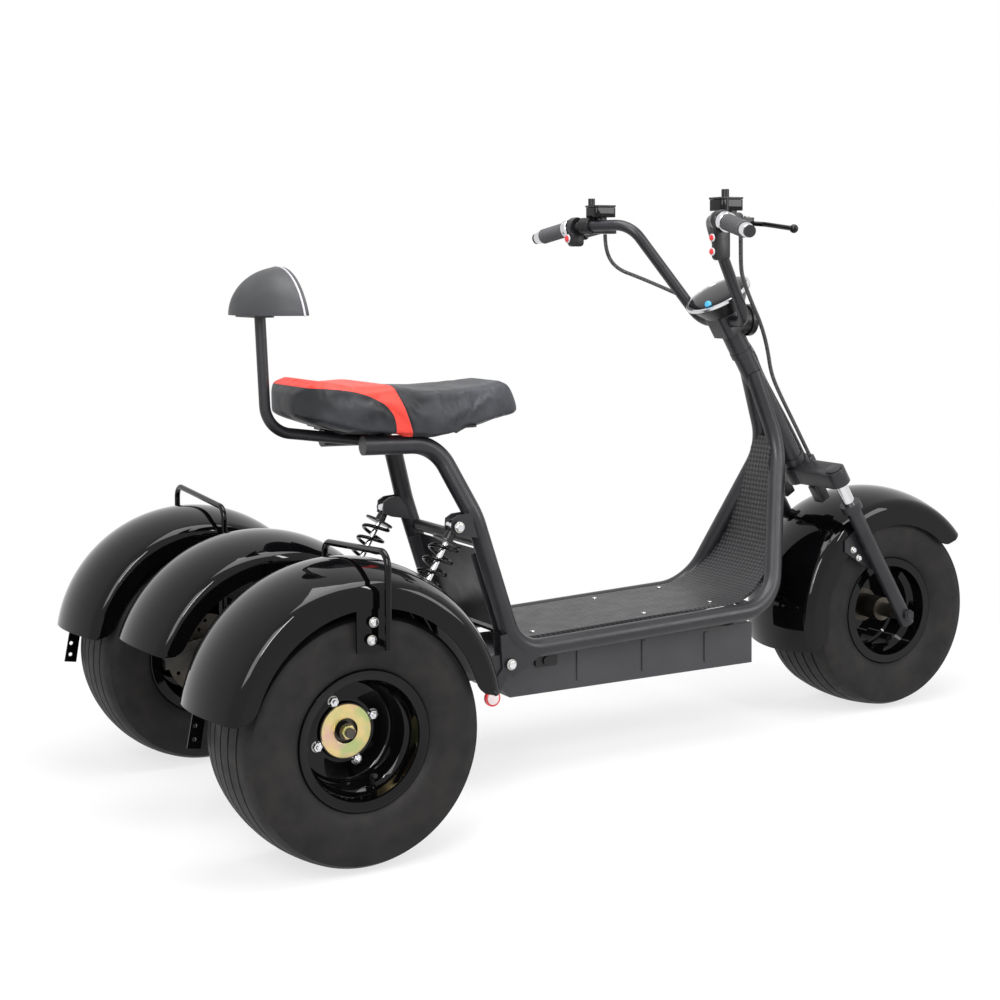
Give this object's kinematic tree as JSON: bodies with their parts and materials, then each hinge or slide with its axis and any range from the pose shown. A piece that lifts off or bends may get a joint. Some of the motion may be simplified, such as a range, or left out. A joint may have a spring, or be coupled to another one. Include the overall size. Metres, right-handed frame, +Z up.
{
  "type": "three-wheeled electric scooter",
  "caption": "Electric scooter with a pair of fat rear wheels under domed fenders, a low floor, a long saddle with back pad, and one steered front wheel on a raked fork.",
  "frame": {"origin": "middle of the footprint at the floor, under the centre of the overall box", "axes": "+X forward to the front wheel, +Y to the rider's left, +Z up"},
  "size_m": [2.0411, 1.08, 1.1919],
  "materials": {
    "frame_black": "satin black powder coat",
    "gloss_black": "gloss black paint",
    "satin_black": "satin black",
    "deck_rubber": "dimpled black mat",
    "reflector_red": "red rim round a pale lens",
    "chrome": "bright plated steel",
    "steel": "plain steel",
    "zinc_steel": "yellow zinc plated steel",
    "seat_vinyl": "black vinyl with a red centre band",
    "pad_vinyl": "black vinyl",
    "grip_rubber": "ribbed rubber",
    "hose_braid": "black braided sleeve",
    "tyre": "black tyre rubber"
  },
  "bodies": {
    "chassis": {"frame_rail_right": "frame_black", "frame_rail_left": "frame_black", "head_tube": "frame_black", "frame_braces": "frame_black", "rear_panel": "satin_black", "battery_case": "satin_black", "charge_socket": "satin_black", "floor_board": "deck_rubber", "frame_brackets": "satin_black", "reflectors": "reflector_red", "swing_arm": "satin_black", "rear_axle": "steel", "drive_motor": "satin_black", "rear_calipers": "steel", "shocks": "chrome", "springs": "gloss_black", "fender_carriers": "satin_black", "fender_tabs": "steel", "grab_handles": "gloss_black", "fender_right": "gloss_black", "fender_left": "gloss_black", "fender_middle": "gloss_black", "seat_cushion": "seat_vinyl", "seat_pan": "satin_black", "seat_brackets": "frame_black", "backrest_post": "frame_black", "backrest_pad": "pad_vinyl"},
    "steering": {"fork_crown": "frame_black", "crown_bumpers": "satin_black", "fork_stanchions": "chrome", "fork_legs": "frame_black", "steering_stem": "frame_black", "handlebar": "frame_black", "bar_clamp": "frame_black", "dash_display": "satin_black", "bar_ends": "chrome", "grips": "grip_rubber", "grip_collars": "chrome", "brake_masters": "satin_black", "brake_levers": "frame_black", "switch_pods": "satin_black", "front_caliper": "steel", "fender_stays": "frame_black", "headlight": "satin_black", "brake_hoses": "hose_braid", "fender_front": "gloss_black"},
    "rear_wheel_right": {"tyre_rear_right": "tyre", "rim_rear_right": "gloss_black", "hub_rear_right": "zinc_steel"},
    "rear_wheel_left": {"tyre_rear_left": "tyre", "rim_rear_left": "gloss_black", "hub_rear_left": "zinc_steel"},
    "front_wheel": {"tyre_front": "tyre", "rim_front": "gloss_black", "hub_front": "zinc_steel"}
  },
  "joints": [
    {"name": "steering_turn", "type": "hinge", "parent": "chassis", "child": "steering", "pos_m": [0.79209, 0, 0.2285], "axis": [-0.5075, 0, 0.8616], "range_deg": [-35, 35]},
    {"name": "front_wheel_spin", "type": "hinge", "parent": "steering", "child": "front_wheel", "pos_m": [0.79209, 0, 0.2285], "axis": [0, 1, 0], "continuous": true},
    {"name": "rear_wheel_right_spin", "type": "hinge", "parent": "chassis", "child": "rear_wheel_right", "pos_m": [-0.73791, -0.39, 0.2285], "axis": [0, 1, 0], "continuous": true},
    {"name": "rear_wheel_left_spin", "type": "hinge", "parent": "chassis", "child": "rear_wheel_left", "pos_m": [-0.73791, 0.39, 0.2285], "axis": [0, 1, 0], "continuous": true}
  ]
}
